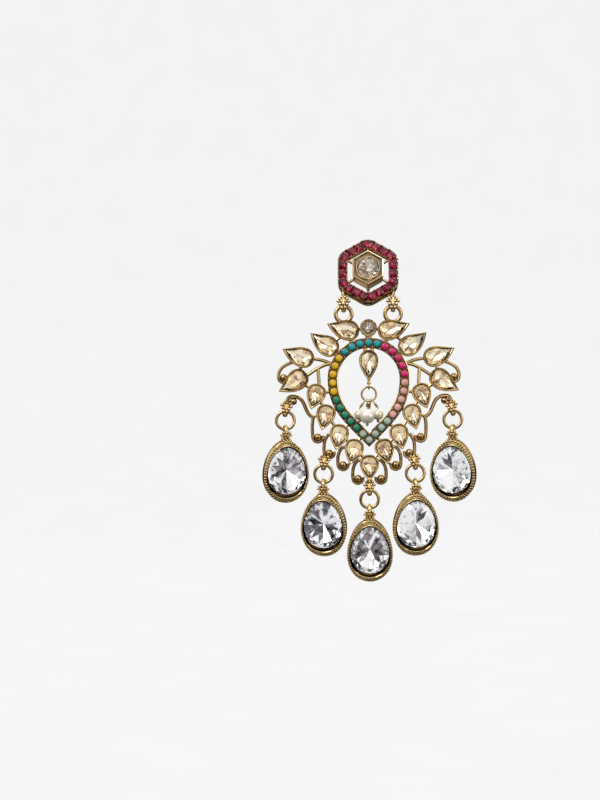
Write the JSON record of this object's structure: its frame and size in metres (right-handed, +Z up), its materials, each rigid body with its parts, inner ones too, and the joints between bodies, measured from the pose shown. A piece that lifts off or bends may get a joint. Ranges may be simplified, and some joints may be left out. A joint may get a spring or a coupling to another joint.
{
  "type": "chandbali earring",
  "caption": "Chandbali drop earring: stone-set hexagonal stud, swinging medallion with a teardrop stone ring, pearl cluster and crystal drops.",
  "frame": {"origin": "where the ear post meets the back of the stud, in the middle of the stud", "axes": "+Z up while worn, the front looks along -Y, +X to the right seen from the front"},
  "size_m": [0.0476, 0.0179, 0.0759],
  "materials": {
    "antique_gold": "polished with darker recesses",
    "drop_gold": "polished with darker recesses",
    "ruby": "glossy",
    "teal": "glossy",
    "magenta": "glossy",
    "blush": "glossy",
    "pale_green": "glossy",
    "green": "glossy",
    "yellow": "glossy",
    "champagne": "cut and foil backed",
    "smoke": "cut and foil backed",
    "crystal": "cut and foil backed",
    "pearl": "pearly"
  },
  "bodies": {
    "stud": {"ear_post": "antique_gold", "stud_frame": "antique_gold", "stud_stone": "champagne", "stud_rubies": "ruby"},
    "medallion": {"medallion_frame": "antique_gold", "teal_stones": "teal", "magenta_stones": "magenta", "blush_stones": "blush", "pale_green_stones": "pale_green", "green_stones": "green", "yellow_stones": "yellow", "crest_stone": "smoke", "leaf_stone_1": "champagne", "leaf_stone_2": "champagne", "leaf_stone_3": "champagne", "leaf_stone_4": "champagne", "leaf_stone_5": "champagne", "leaf_stone_6": "champagne", "leaf_stone_7": "champagne", "leaf_stone_8": "champagne", "pear_stone_1": "champagne", "pear_stone_2": "champagne", "pear_stone_3": "champagne", "pear_stone_4": "champagne", "pear_stone_5": "champagne", "pear_stone_6": "champagne", "pear_stone_7": "champagne", "pear_stone_8": "champagne", "pear_stone_9": "champagne", "inner_stone": "champagne", "jump_ring_1": "antique_gold", "jump_ring_2": "antique_gold", "jump_ring_3": "antique_gold", "jump_ring_4": "antique_gold", "jump_ring_5": "antique_gold", "drop_cup_1": "drop_gold", "drop_cup_2": "drop_gold", "drop_cup_3": "drop_gold", "drop_cup_4": "drop_gold", "drop_cup_5": "drop_gold", "crystal_1": "crystal", "crystal_2": "crystal", "crystal_3": "crystal", "crystal_4": "crystal", "crystal_5": "crystal", "inner_ring": "antique_gold", "headpin_1": "antique_gold", "headpin_2": "antique_gold", "headpin_3": "antique_gold", "headpin_4": "antique_gold", "pearl_1": "pearl", "pearl_2": "pearl", "pearl_3": "pearl", "pearl_4": "pearl"}
  },
  "joints": [
    {"name": "medallion_swing", "type": "hinge", "parent": "stud", "child": "medallion", "pos_m": [0, -0.00322, -0.00727], "axis": [1, 0, 0], "range_deg": [-35, 35]}
  ]
}
